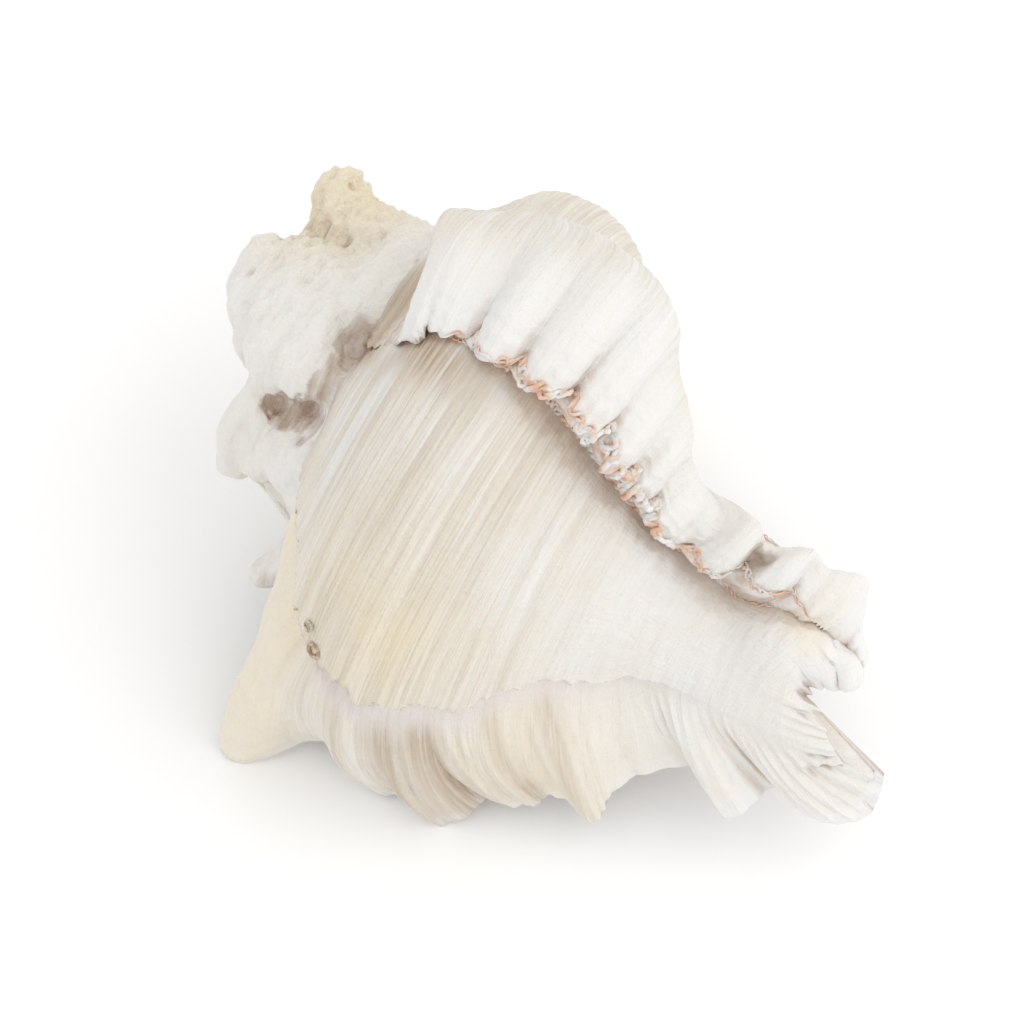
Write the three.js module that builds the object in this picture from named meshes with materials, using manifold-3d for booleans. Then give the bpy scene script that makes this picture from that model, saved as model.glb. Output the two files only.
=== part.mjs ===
// A murex shell: one coiled, hollow body with three frilled varices to a turn, a blunt spire at one
// end and a siphonal canal at the other. It lies on its mouth, on the edge of the lip.
//
// Frame: millimetres, +Z up. The coiling axis lies in the XZ plane, with the spire at -X and the
// canal at +X. The lip is on the -Y side.
//
// The shell is worked out in coiling coordinates: `along` is the distance from the apex towards the
// canal, `out` is the distance from the coiling axis, and `growth` is the angle in degrees that the
// shell has grown through, which is 0 straight up and turns towards -Y. A `station` runs from 0 at
// the suture of a whorl to 1 at the tip of the canal.

import * as THREE from "three";
import { mergeVertices } from "three/addons/utils/BufferGeometryUtils.js";
import Module from "manifold-3d";

// Growth law
const EXPANSION = 1.7; // how many times larger the shell gets in one turn
const FULL_SIZE_AT = 117; // growth angle at which the profile below has its stated size
const RIM_AT = 138; // growth angle of the rim of the mouth
const CANAL_STATIONS = [0.55, 0.85]; // the canal grows less from turn to turn than the rest
const CANAL_GROWTH = 0.38; // its growth, as a share of the rest's

// Outline of the newest whorl, [along, out] at equal steps of the station
const PROFILE = [
  [29, 26], [33, 33], [37, 39.5], [41, 45.5], [45.5, 50.5], [51, 53.5], [57, 55], [63, 54.5],
  [68.5, 52], [73, 48], [77, 42.5], [81, 36], [85.5, 29], [90, 23], [95, 18], [101, 15], [107, 13],
  [113, 12], [119, 11], [125, 7],
];
// The edge of the lip, with its spines
const LIP_EDGE = [
  [31, 32], [33.5, 41], [37.5, 52], [41, 66], [47, 65], [56, 57.5], [65, 59.5], [72, 56],
  [79, 56.5], [82.5, 48.5], [89, 45], [91, 41], [99, 39.5], [99.5, 33], [108, 21], [117, 24.5],
  [121, 16.5], [129, 15.5], [137, 11], [134, 4],
];
// The crown varix: the top of its folds, and its front edge
const CROWN_TOP = [
  [24, 26], [24, 33], [27, 41], [32, 45], [38, 48], [45, 52], [52, 56], [60, 57], [67, 56],
  [72.5, 51], [75, 43], [80, 36], [84, 28], [90, 23.5], [97, 27], [101, 24], [107, 29.5],
  [111, 26], [118, 26.5], [124, 14],
];
const CROWN_EDGE = [
  [25, 24], [29, 31], [33, 37.5], [37, 43], [42, 47], [47.5, 49.5], [53.5, 51], [60, 51],
  [66, 49], [70.5, 44], [74.5, 37.5], [78, 30], [83, 24], [88, 20], [95, 21], [100, 21.5],
  [106, 22], [111, 21], [118, 18], [124, 10],
];

// Varices, newest first, by the growth angle of the front edge
const LIP = { edge: 138 };
const CROWNS = [{ edge: 18, lean: 0 }, { edge: -102, lean: 9 }]; // lean is towards the canal
const SPIRE_VARICES = [ // reach of the spine, [along, out]
  { edge: -218, reach: [-12, 1] },
  { edge: -300, reach: [-7, 5] },
  { edge: -412, reach: [-26, 16] },
  { edge: -545, reach: [-14, 8] },
  { edge: -650, reach: [-22, 8] },
];
const VARIX_SPAN = 44; // degrees from where a varix starts to its front edge
const TOP_BEFORE_EDGE = 22; // degrees from the top of a crown varix to its front edge
const DROP_SPAN = 3; // degrees over which its front edge drops to the newer shell
const LIP_CURL = 1.6; // how late the lip flares: 1 is even
const SPINE_STATION = 0.13; // where the spire's spines stand on their whorl
const SPINE_SPREAD = 0.09;

// The canal bends away from the coiling axis
const BEND_TOWARDS = 100; // growth angle that the bend points to
const BEND_FROM = 64;
const BEND_TO = 112;
const BEND_BY = 4;

// The hollow that the animal lived in: outline of the mouth at the rim, [along, out]
const MOUTH = [
  [40, 37], [43, 43], [49, 48.5], [57, 51], [65, 49.5], [71, 44], [76.5, 35], [80.5, 26], [82, 18],
  [77, 15], [69, 17], [62, 22], [56, 27], [50, 31], [44, 34.5],
];
const MOUTH_FLARE = 4; // how much further out the lip side of the mouth stands at the rim
const MOUTH_FLARE_FROM = 112; // growth angle
const LIP_SIDE = [26, 44]; // distance from the axis over which the mouth's lip side begins
const HOLLOW_BACK_TO = -150; // growth angle at which the hollow ends inside the shell
// Route of the open slot of the canal, [along, out, growth]
const CANAL_ROUTE = [[74, 20, 140], [86, 13, 146], [98, 10, 152], [112, 8.5, 160], [134, 9, 170]];
const SLOT_HALF_WIDTH = 2.8;
const SLOT_HALF_DEPTH = 5.5;

// Fineness of the solid
const BODY_ROWS = 57;
const BODY_STEP = 9;
const VARIX_LINES = [-44, -36, -29, -22, -15, -7, 0, 3]; // degrees from the front edge
const FINENESS = 0.1; // how far a facet may stand off the finer shape
const TURN = 356; // degrees in one stretch of shell, just under a full turn so that it closes
const END_DEPTH = 1; // how far the ends of a stretch reach past its outline, along the axis
const SPIRE_ROWS = 12;
const SPIRE_STEP = 10;
const SPIRE_PROFILE_END = 0.36; // share of the profile that the spire's whorls need
const SPIRE_TURNS = [1, 2, 3]; // turns back from the newest
const OVERLAP = 30; // degrees that one turn runs under the next
const PILLAR_SPAN = 40; // degrees of the solid pillar beside the mouth
const HOLLOW_SIDES = 20;
const HOLLOW_STEP = 12;
const PAST_RIM = 14; // degrees that the hollow is cut past the rim
const SLOT_SIDES = 12;
const WELD = 1e-4; // points closer than this are one

// How the shell lies: on two spines of its lip and on the oldest crown varix
const SPIRE_RAISED = 9.7; // degrees
const ROLLED = -13.15; // degrees about X
const WORN = 0.8; // how much the resting points are worn flat

const radians = THREE.MathUtils.degToRad;
const smooth = THREE.MathUtils.smoothstep;
const splineOf = (points) => new THREE.SplineCurve(points.map(([x, y]) => new THREE.Vector2(x, y)));
const profile = splineOf(PROFILE);
const lipEdge = splineOf(LIP_EDGE);
const crownTop = splineOf(CROWN_TOP);
const crownEdge = splineOf(CROWN_EDGE);

// Size of the shell at a growth angle
function sizeAt(growth, station) {
  const canal = smooth(station, ...CANAL_STATIONS);
  const power = THREE.MathUtils.lerp(1, CANAL_GROWTH, canal);
  return Math.pow(EXPANSION, ((growth - FULL_SIZE_AT) / 360) * power);
}

// Point of the plain whorl, before any varix
function plainAt(growth, station) {
  return profile.getPoint(station).multiplyScalar(sizeAt(growth, station));
}

// How far the lip stands off the plain whorl
function lipFlare(growth, station) {
  const part = (growth - LIP.edge) / VARIX_SPAN + 1;
  if (part <= 0) return new THREE.Vector2();
  return lipEdge.getPoint(station).sub(plainAt(LIP.edge, station)).multiplyScalar(part ** LIP_CURL);
}

// How far a crown varix stands off the plain whorl
function crownFlare(varix, growth, station) {
  const angle = growth - varix.edge;
  if (angle <= -VARIX_SPAN || angle >= DROP_SPAN) return new THREE.Vector2();
  const scale = sizeAt(varix.edge, station) / sizeAt(CROWNS[0].edge, station);
  const top = crownTop.getPoint(station).multiplyScalar(scale);
  top.sub(plainAt(varix.edge - TOP_BEFORE_EDGE, station));
  top.x += varix.lean * Math.sin(Math.PI * station);
  const edge = crownEdge.getPoint(station).multiplyScalar(scale).sub(plainAt(varix.edge, station));
  if (angle < -TOP_BEFORE_EDGE) return top.multiplyScalar(smooth(angle, -VARIX_SPAN, -TOP_BEFORE_EDGE));
  if (angle < 0) return top.lerp(edge, (1 + angle / TOP_BEFORE_EDGE) ** 2);
  return edge.multiplyScalar(1 - angle / DROP_SPAN);
}

// How far a varix of the spire stands off the plain whorl: one blunt spine on the shoulder
function spireFlare(varix, growth, station) {
  const angle = growth - varix.edge;
  if (angle <= -VARIX_SPAN || angle >= TOP_BEFORE_EDGE) return new THREE.Vector2();
  const rise = angle < 0 ? smooth(angle, -VARIX_SPAN, 0) : 1 - angle / TOP_BEFORE_EDGE;
  const lobe = Math.exp(-(((station - SPINE_STATION) / SPINE_SPREAD) ** 2));
  return new THREE.Vector2(...varix.reach).multiplyScalar(rise * lobe * sizeAt(varix.edge, station));
}

// The outer surface, with its varices
function surfaceAt(growth, station) {
  const point = plainAt(growth, station).add(lipFlare(growth, station));
  for (const varix of CROWNS) point.add(crownFlare(varix, growth, station));
  for (const varix of SPIRE_VARICES) point.add(spireFlare(varix, growth, station));
  return point;
}

// From coiling coordinates to the shell's own x, y and z
function toSpace(along, out, growth) {
  const bend = BEND_BY * smooth(along, BEND_FROM, BEND_TO);
  const turn = radians(growth);
  const towards = radians(BEND_TOWARDS);
  return new THREE.Vector3(
    along,
    -(out * Math.sin(turn) + bend * Math.sin(towards)),
    out * Math.cos(turn) + bend * Math.cos(towards),
  );
}

// Closed mesh from rings of equal length, each a loop of points, with a centre point at both ends
function closedGrid(rings, firstCentre, lastCentre) {
  const points = [...rings.flat(), firstCentre, lastCentre];
  const count = rings[0].length;
  const first = rings.length * count;
  const faces = [];
  for (let j = 0; j < count; j++) {
    const next = (j + 1) % count;
    faces.push(first, j, next);
    for (let i = 0; i + 1 < rings.length; i++) {
      const [a, b, c, d] = [i * count + j, i * count + next, (i + 1) * count + next, (i + 1) * count + j];
      faces.push(a, d, b, b, d, c);
    }
    const last = (rings.length - 1) * count;
    faces.push(first + 1, last + next, last + j);
  }
  const geometry = new THREE.BufferGeometry().setFromPoints(points);
  geometry.setIndex(faces);
  return geometry;
}

const range = (from, to, step) => {
  const count = Math.max(1, Math.ceil(Math.abs(to - from) / step));
  return Array.from({ length: count + 1 }, (_, i) => from + ((to - from) * i) / count);
};

// Growth angles of the lines of a turn, closer together on the varices than between them
function growthLines(oldest, newest, step) {
  const lines = range(oldest, newest, step);
  const marks = [LIP, ...CROWNS].flatMap(({ edge }) => VARIX_LINES.map((line) => edge + line));
  const kept = lines.filter((line) => !marks.some((mark) => Math.abs(line - mark) < step / 2));
  const inside = marks.filter((mark) => mark > lines[0] && mark < newest);
  return [...kept, ...inside, newest].sort((a, b) => a - b).filter((line, i, all) => line !== all[i - 1]);
}

// A stretch of the whorl between two growth angles, solid from the axis out to its surface
function stretchOfShell(growths, rows, profileEnd) {
  const newest = growths.at(-1);
  const rings = range(0, profileEnd, profileEnd / rows).map((station) => {
    const ring = growths.map((growth) => {
      const { x, y } = surfaceAt(growth, station);
      return toSpace(x, y, growth);
    });
    return [toSpace(plainAt(newest, station).x, 0, newest), ...ring.reverse()];
  });
  const first = plainAt(newest, 0).x - END_DEPTH;
  const last = plainAt(newest, profileEnd).x + END_DEPTH;
  return closedGrid(rings, toSpace(first, 0, newest), toSpace(last, 0, newest));
}

// The hollow, swept back along the growth spiral from just outside the rim
function hollow() {
  const outline = splineOf([...MOUTH, MOUTH[0]]);
  const rings = range(HOLLOW_BACK_TO, RIM_AT + PAST_RIM, HOLLOW_STEP).map((growth) => {
    const size = sizeAt(growth, 0);
    return Array.from({ length: HOLLOW_SIDES }, (_, j) => {
      const { x, y } = outline.getPoint(j / HOLLOW_SIDES);
      const flare = MOUTH_FLARE * smooth(growth, MOUTH_FLARE_FROM, RIM_AT) * smooth(y, ...LIP_SIDE);
      return toSpace(x * size, (y + flare) * size, growth);
    });
  });
  const middleOf = (ring) =>
    ring.reduce((sum, point) => sum.add(point), new THREE.Vector3()).divideScalar(ring.length);
  return closedGrid(rings, middleOf(rings[0]), middleOf(rings.at(-1)));
}

// The slot of the siphonal canal, open along the underside
function canalSlot() {
  const route = new THREE.CatmullRomCurve3(CANAL_ROUTE.map(([a, r, g]) => toSpace(a, r, g)));
  const outwards = toSpace(0, 1, CANAL_ROUTE.at(-1)[2]).normalize();
  const rings = range(0, 1, 1 / SLOT_SIDES).map((t) => {
    const centre = route.getPoint(t);
    const across = new THREE.Vector3().crossVectors(route.getTangent(t), outwards).normalize();
    return Array.from({ length: SLOT_SIDES }, (_, j) => {
      const turn = (2 * Math.PI * j) / SLOT_SIDES;
      return centre
        .clone()
        .addScaledVector(across, SLOT_HALF_WIDTH * Math.cos(turn))
        .addScaledVector(outwards, SLOT_HALF_DEPTH * Math.sin(turn));
    });
  });
  return closedGrid(rings, route.getPoint(0), route.getPoint(1));
}

const wasm = await Module();
wasm.setup();

function solidOf(geometry) {
  const merged = mergeVertices(geometry, WELD);
  return new wasm.Manifold(
    new wasm.Mesh({
      numProp: 3,
      vertProperties: merged.attributes.position.array,
      triVerts: new Uint32Array(merged.index.array),
    }),
  );
}

function geometryOf(solid) {
  const mesh = solid.getMesh();
  return new THREE.BufferGeometry()
    .setAttribute("position", new THREE.BufferAttribute(mesh.vertProperties.slice(), 3))
    .setIndex(new THREE.BufferAttribute(mesh.triVerts, 1));
}

const oldest = RIM_AT - TURN;
const pillarLines = range(oldest - PILLAR_SPAN / 2, oldest + PILLAR_SPAN / 2, PILLAR_SPAN / 2);
const body = stretchOfShell(growthLines(oldest, RIM_AT, BODY_STEP), BODY_ROWS, 1);
const pillar = stretchOfShell(pillarLines, BODY_ROWS, 1);
const spireTurns = SPIRE_TURNS.map((turn) => {
  const newest = RIM_AT - 360 * turn + OVERLAP;
  return stretchOfShell(range(newest - TURN, newest, SPIRE_STEP), SPIRE_ROWS, SPIRE_PROFILE_END);
});
let solid = [body, pillar, ...spireTurns].map(solidOf).reduce((whole, piece) => whole.add(piece));
solid = solid.subtract(solidOf(hollow())).subtract(solidOf(canalSlot()));
solid = solid.rotate([0, SPIRE_RAISED, 0]).rotate([ROLLED, 0, 0]);
solid = solid.trimByPlane([0, 0, 1], solid.boundingBox().min[2] + WORN).simplify(FINENESS);
// Closed pockets between the turns are filled in, so the largest body is the whole shell
solid = solid.decompose().sort((a, b) => b.volume() - a.volume())[0];
const { min, max } = solid.boundingBox();
solid = solid.translate([-(min[0] + max[0]) / 2, -(min[1] + max[1]) / 2, -min[2]]);

const shell = new THREE.Mesh(
  geometryOf(solid),
  new THREE.MeshStandardMaterial({ color: 0xe8e0d0, roughness: 0.55, metalness: 0 }),
);
shell.name = "shell";

const part = new THREE.Group();
part.add(shell);
export default part;
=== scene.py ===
import math

import bpy
import numpy as np
from mathutils import Matrix, Vector
from mathutils.bvhtree import BVHTree
from mathutils.kdtree import KDTree


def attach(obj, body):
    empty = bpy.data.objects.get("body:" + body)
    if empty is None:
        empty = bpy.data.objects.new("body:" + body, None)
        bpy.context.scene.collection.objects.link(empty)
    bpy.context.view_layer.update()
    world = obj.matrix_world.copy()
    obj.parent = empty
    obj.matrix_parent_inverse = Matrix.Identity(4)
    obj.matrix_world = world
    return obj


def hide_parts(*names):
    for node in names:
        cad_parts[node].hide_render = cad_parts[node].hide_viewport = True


bl_info = {
    "name": "Murex Shell",
    "version": (1, 0, 0),
    "blender": (4, 5, 0),
    "location": "3D View > Sidebar > Murex",
    "description": "Bleached murex shell on its mouth, with frills, threads, stains and a studio",
    "category": "Add Mesh",
}

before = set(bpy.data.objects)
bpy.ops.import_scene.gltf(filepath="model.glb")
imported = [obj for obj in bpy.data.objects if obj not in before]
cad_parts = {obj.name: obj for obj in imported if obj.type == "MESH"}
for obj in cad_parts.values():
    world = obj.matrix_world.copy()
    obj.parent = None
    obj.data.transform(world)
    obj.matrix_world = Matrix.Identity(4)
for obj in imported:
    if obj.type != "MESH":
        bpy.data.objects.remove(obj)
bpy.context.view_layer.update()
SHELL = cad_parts["shell"]

# ---------------------------------------------------------------------------------------------
# The coiling law. `along` is the distance from the apex towards the canal, `out` the distance
# from the coiling axis, `growth` the angle in degrees that the shell has grown through, and
# `station` runs from 0 at the suture of a whorl to 1 at the tip of the canal. Millimetres.
# ---------------------------------------------------------------------------------------------
EXPANSION = 1.7
FULL_SIZE_AT = 117
RIM_AT = 138
CANAL_STATIONS = (0.55, 0.85)
CANAL_GROWTH = 0.38
PROFILE = [
    (29, 26), (33, 33), (37, 39.5), (41, 45.5), (45.5, 50.5), (51, 53.5), (57, 55), (63, 54.5),
    (68.5, 52), (73, 48), (77, 42.5), (81, 36), (85.5, 29), (90, 23), (95, 18), (101, 15), (107, 13),
    (113, 12), (119, 11), (125, 7),
]
LIP_EDGE = [
    (31, 32), (33.5, 41), (37.5, 52), (41, 66), (47, 65), (56, 57.5), (65, 59.5), (72, 56),
    (79, 56.5), (82.5, 48.5), (89, 45), (91, 41), (99, 39.5), (99.5, 33), (108, 21), (117, 24.5),
    (121, 16.5), (129, 15.5), (137, 11), (134, 4),
]
CROWN_TOP = [
    (24, 26), (24, 33), (27, 41), (32, 45), (38, 48), (45, 52), (52, 56), (60, 57), (67, 56),
    (72.5, 51), (75, 43), (80, 36), (84, 28), (90, 23.5), (97, 27), (101, 24), (107, 29.5),
    (111, 26), (118, 26.5), (124, 14),
]
CROWN_EDGE = [
    (25, 24), (29, 31), (33, 37.5), (37, 43), (42, 47), (47.5, 49.5), (53.5, 51), (60, 51),
    (66, 49), (70.5, 44), (74.5, 37.5), (78, 30), (83, 24), (88, 20), (95, 21), (100, 21.5),
    (106, 22), (111, 21), (118, 18), (124, 10),
]
CROWNS = [(18, 0), (-102, 9)]  # growth angle of the front edge, lean towards the canal
SPIRE_VARICES = [  # growth angle of the edge, how far its spine reaches along and out
    (-218, (-12, 1)), (-300, (-7, 5)), (-412, (-12, 5)), (-545, (-10, 5)), (-650, (-14, 5)),
]
VARIX_SPAN = 44
TOP_BEFORE_EDGE = 22
DROP_SPAN = 3
LIP_CURL = 1.6
SPINE_STATION = 0.13
SPINE_SPREAD = 0.09
BEND_TOWARDS = 100
BEND_FROM, BEND_TO, BEND_BY = 64, 112, 4
MOUTH = [
    (40, 37), (43, 43), (49, 48.5), (57, 51), (65, 49.5), (71, 44), (76.5, 35), (80.5, 26), (82, 18),
    (77, 15), (69, 17), (62, 22), (56, 27), (50, 31), (44, 34.5), (40, 37),
]
MOUTH_FLARE, MOUTH_FLARE_FROM, LIP_SIDE = 4, 112, (26, 44)
HOLLOW_BACK_TO, PAST_RIM = -150, 14
CANAL_ROUTE = [(74, 20, 140), (86, 13, 146), (98, 10, 152), (112, 8.5, 160), (134, 9, 170)]
SLOT_HALF_WIDTH, SLOT_HALF_DEPTH = 2.8, 5.5
SPIRE_RAISED, ROLLED = 9.7, -13.15
PLACED = (-68.47, 8.49, 44.98)  # from the apex to the middle of the underside
TURN = 356
STATION_MM = 180  # spaces the threads and folds: station 0 to 1 counts as this many millimetres
STATION_LINES = 262

# The older turns
OLDER_TURNS = (1, 2, 3)
TURN_OVERLAP = 30
SPIRE_STATION = 0.36
SPIRE_VOXEL, SPIRE_SWELL, SPIRE_EASING = 0.0006, 0.0011, 5  # metres, metres, rounds
# Blunt spines of the older turns: points along each, then its radius at each point
SPIRE_KNOBS = [
    ([(-47, 18, 47), (-52.5, 21.5, 51.5), (-58.2, 26, 55)], [10.5, 8.2, 4]),
    ([(-40, 18, 55), (-46, 21, 53)], [6, 6]),
    ([(-55, 15, 50), (-52.5, 6, 54), (-49.5, -4, 56)], [6.8, 7.6, 6.8]),
    ([(-47, 9, 56), (-45, 1, 58), (-43.5, -5.5, 60)], [6.5, 6.5, 5.6]),
    ([(-61, 11, 51), (-60.5, 4, 52), (-57.5, -1, 53)], [4.3, 4.6, 3.4]),
    ([(-63, 11, 53), (-64.5, 6, 50)], [3.6, 3]),
    ([(-51, -8, 49), (-53, -13, 41), (-53, -16.4, 35)], [3, 4, 3.2]),
    ([(-44, -13, 45), (-48, -15.6, 38.5)], [4.6, 3.6]),
    ([(-37, -15, 48), (-41, -17, 43.5)], [4.8, 3.6]),
    ([(-36, -17, 20), (-42, -21, 15), (-45, -23.5, 13)], [5, 3.6, 2.6]),
]
CONE_SPINE = (-55.5, 23, 53)
HOLLOWS = [  # place, radius and depth of the recesses around the spire's spines
    ((-43.5, -13.7, 59), 7.5, 13), ((-49, -11, 51), 5.5, 9), ((-35, 8, 74), 5.5, 5),
    ((-36, 0, 66), 6.5, 8), ((-51, 15, 57), 4, 3), ((-41, -22, 47), 5, 5),
    ((-47, -20.5, 29), 7, 9), ((-41, -23.5, 31), 8, 11),
]
SPIRE_PITS = [((-52.5, 17.6, 58.8), 1.5, 1.6), ((-62.5, 6, 55.5), 0.7, 0.8)]  # place, radius, depth

# Real stains, plus masks of painted shade: the strip under the growth step, the darkened hollows, and the
# shade in grooves, gutters and pits that shares the brown
STAIN_AND_SHADE_MASKS = ["streaky", "bleached", "yellowed", "brown_bands_and_shade", "lilac_shade", "blushed", "hollow_shade_and_crust", "inner", "grainy"]

# Relief of the last turn
GROWTH_BANDS = [  # from, to, degrees between lines
    (-218, -150, 3), (-150, -98, 1.5), (-98, -36, 2.4), (-36, -6, 1.1), (-6, 24, 0.55),
    (24, 82, 1.4), (82, 138, 0.75),
]
CROWN_FRONT = [  # station, growth angle of the front edge of the newest crown varix
    (0, 22), (0.1, 24), (0.14, 23), (0.18, 16), (0.32, 16), (0.48, 15), (0.6, 13), (0.67, 14), (0.71, 12),
    (0.76, 8), (0.81, 4), (0.88, 0), (0.94, -7), (1, -10),
]
STEP_AT = [  # station, growth angle of the broken growth step behind the lip
    (0.06, 76), (0.11, 77), (0.17, 78), (0.2, 84), (0.24, 90), (0.33, 91), (0.386, 93.5), (0.45, 91),
    (0.516, 96), (0.57, 93), (0.62, 93), (0.695, 98), (0.76, 91), (1, 91),
]
CROWN_CREASES = [0.02, 0.122, 0.245, 0.324, 0.405, 0.493, 0.565, 0.62, 0.7, 0.785, 0.87, 0.97, 1.05]
END_REACH = [  # growth angle, how far the broken canal end reaches past the plain shape
    (-218, -4), (-40, -4), (-22, -3), (-12, 0), (-2, 1), (8, 0), (18, -1.2), (24, -2.8), (40, -1.5),
    (58, 1.5), (74, 2.6), (88, 3.6), (98, 2.6), (106, 3.2), (114, 1.4), (124, 2), (138, 0),
]
LIP_CREASES = [
    -0.05, 0.05, 0.13, 0.295, 0.385, 0.427, 0.475, 0.521, 0.601, 0.701, 0.76, 0.855, 0.955, 1.05,
]
THREAD_PITCH, WRINKLE_PITCH = 3.7, 3.1  # in the millimetres of STATION_MM
LAMELLA_PITCH, CREASE_PITCH = 2.9, 5.5  # degrees of growth
CANAL_END, DRAWN_IN = 108, 0.75  # past here the axis is drawn in by this share, so the end is hollow

# Finish, frills, ring scars and the studio
CREASE_ANGLES = {"last_turn": 38, "spire": 180}  # degrees from which an edge is shaded sharp
FINE_CREASE = 60
LIP_BANDS = [  # station, width and depth of the brown bands on the lip
    (0.4, 0.02, 0.65), (0.463, 0.024, 0.75), (0.56, 0.012, 0.4), (0.63, 0.012, 0.4),
]
FRILL_STATIONS, FRILL_STRANDS = (0.2, 0.93), 3
SCARS = [(85, 0.256, 0.75), (88.5, 0.279, 1.1), (61, 0.47, 0.35)]  # growth angle, station, size
# Reach and count of the rays that find the hollows which get painted shade
RECESS_REACH, RECESS_RAYS = 0.009, 14  # metres, rays from each vertex
WORLD_LIGHT, KEY_LIGHT, KEY_SIZE, KEY_AWAY = 0.98, 2.4, 0.9, 1.0  # strength, watts, metres, metres
FLOOR_HALF, LENS, SENSOR, FRAME_WIDTH = 4.0, 240, 36, 0.168  # metres, mm, mm, metres
FRAME_MIDDLE = (0.048, 0.0566)  # from the shell's left and top edges, as the camera sees them
CAMERA_ROUND, CAMERA_UP, CAMERA_ROLL = 37.8, 64.0, -6.1  # degrees


def smooth(x, low, high):
    t = np.clip((np.asarray(x, float) - low) / (high - low), 0, 1)
    return t * t * (3 - 2 * t)


def fade(x, low, high):
    return 1 - smooth(x, low, high)


def plateau(x, rise_from, rise_to, fall_from, fall_to):
    return smooth(x, rise_from, rise_to) * fade(x, fall_from, fall_to)


def bell(x, middle, width):
    return np.exp(-(((x - middle) / width) ** 2))


def near(points, place, radius):
    """1 at the place, fading out over the radius."""
    return bell(np.linalg.norm(points - place, axis=-1), 0, radius)


def spline(points, t):
    """Point of a smooth curve through `points`, at equal steps of t."""
    points = np.asarray(points, float)
    reach = (len(points) - 1) * np.clip(np.asarray(t, float), 0, 1)
    i = np.minimum(np.floor(reach).astype(int), len(points) - 1)
    w = (reach - i)[..., None]
    before, here = points[np.maximum(i - 1, 0)], points[i]
    after, later = points[np.minimum(i + 1, len(points) - 1)], points[np.minimum(i + 2, len(points) - 1)]
    v0, v1 = (after - before) / 2, (later - here) / 2
    cubic, square = 2 * here - 2 * after + v0 + v1, -3 * here + 3 * after - 2 * v0 - v1
    return cubic * w**3 + square * w**2 + v0 * w + here


def size_at(growth, station):
    power = 1 + (CANAL_GROWTH - 1) * smooth(station, *CANAL_STATIONS)
    return EXPANSION ** ((growth - FULL_SIZE_AT) / 360 * power)


def plain(growth, station):
    return spline(PROFILE, station) * size_at(growth, station)[..., None]


def crown_angle(growth, station):
    """Degrees past the newest crown varix's front edge, which bows back towards the canal."""
    front = np.interp(station, *zip(*CROWN_FRONT))
    top = np.minimum(CROWNS[0][0] - TOP_BEFORE_EDGE, front - 8)
    start = CROWNS[0][0] - VARIX_SPAN
    behind = -VARIX_SPAN + (growth - start) * (VARIX_SPAN - TOP_BEFORE_EDGE) / (top - start)
    ahead = -TOP_BEFORE_EDGE + (growth - top) * TOP_BEFORE_EDGE / (front - top)
    return np.where(growth < top, behind, np.where(growth < front, ahead, growth - front))


def surface(growth, station):
    """The outline [along, out] of the shell, with its varices."""
    shape = plain(growth, station)
    part = np.clip((growth - RIM_AT) / VARIX_SPAN + 1, 0, None)
    flare = spline(LIP_EDGE, station) - plain(RIM_AT + 0 * growth, station)
    shape = shape + flare * (part**LIP_CURL)[..., None]
    for edge, lean in CROWNS:
        angle = crown_angle(growth, station) if lean == 0 else growth - edge
        newest = size_at(CROWNS[0][0] + 0 * growth, station)
        scale = (size_at(edge + 0 * growth, station) / newest)[..., None]
        top = spline(CROWN_TOP, station) * scale - plain(edge - TOP_BEFORE_EDGE + 0 * growth, station)
        top[..., 0] += lean * np.sin(np.pi * station)
        low = spline(CROWN_EDGE, station) * scale - plain(edge + 0 * growth, station)
        rise = smooth(angle, -VARIX_SPAN, -TOP_BEFORE_EDGE)[..., None]
        w = (np.clip(1 + angle / TOP_BEFORE_EDGE, 0, 1) ** 2)[..., None]
        drop = np.clip(1 - angle / DROP_SPAN, 0, 1)[..., None]
        back, front = (angle < -TOP_BEFORE_EDGE)[..., None], (angle < 0)[..., None]
        whole = 1.0
        if lean == 0:  # the newest one ends in a gutter at the spire, and fades out slowly at the canal
            cut = 0.02 * smooth(angle, -22, 0)
            whole = smooth(station - cut, 0.1, 0.125)[..., None]
            drop = np.maximum(drop, 0.85 * (smooth(station, 0.83, 0.93) * fade(angle, 0, 75))[..., None])
        ahead = np.where(front, top * (1 - w) + low * w, low * drop)
        shape = shape + whole * np.where(back, top * rise, ahead)
    for edge, reach in SPIRE_VARICES:
        angle = growth - edge
        drop = np.clip(1 - angle / TOP_BEFORE_EDGE, 0, 1)
        rise = np.where(angle < 0, smooth(angle, -VARIX_SPAN, 0), drop)
        lobe = rise * bell(station, SPINE_STATION, SPINE_SPREAD) * size_at(edge + 0 * growth, station)
        shape = shape + lobe[..., None] * np.asarray(reach, float)
    return shape


def to_space(along, out, growth):
    """From coiling coordinates to the model's frame, in millimetres, laid on its mouth."""
    bend = BEND_BY * smooth(along, BEND_FROM, BEND_TO)
    turn, towards = np.radians(growth), math.radians(BEND_TOWARDS)
    x = along + 0 * turn
    y = -(out * np.sin(turn) + bend * math.sin(towards))
    z = out * np.cos(turn) + bend * math.cos(towards)
    p, r = math.radians(SPIRE_RAISED), math.radians(ROLLED)
    x, z = x * math.cos(p) + z * math.sin(p), -x * math.sin(p) + z * math.cos(p)
    y, z = y * math.cos(r) - z * math.sin(r), y * math.sin(r) + z * math.cos(r)
    return np.stack([x, y, z], -1) + PLACED


def waves(x, y, seed, count=10):
    """Smooth seeded noise between about -1 and 1, one unit to a bump."""
    rng = np.random.default_rng(seed)
    total = 0
    for _ in range(count):
        turn, phase, pace = rng.uniform(0, 2 * math.pi), rng.uniform(0, 2 * math.pi), rng.uniform(0.6, 1.6)
        total = total + np.cos(math.pi * pace * (x * math.cos(turn) + y * math.sin(turn)) + phase)
    return total / math.sqrt(count) / 1.2


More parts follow.
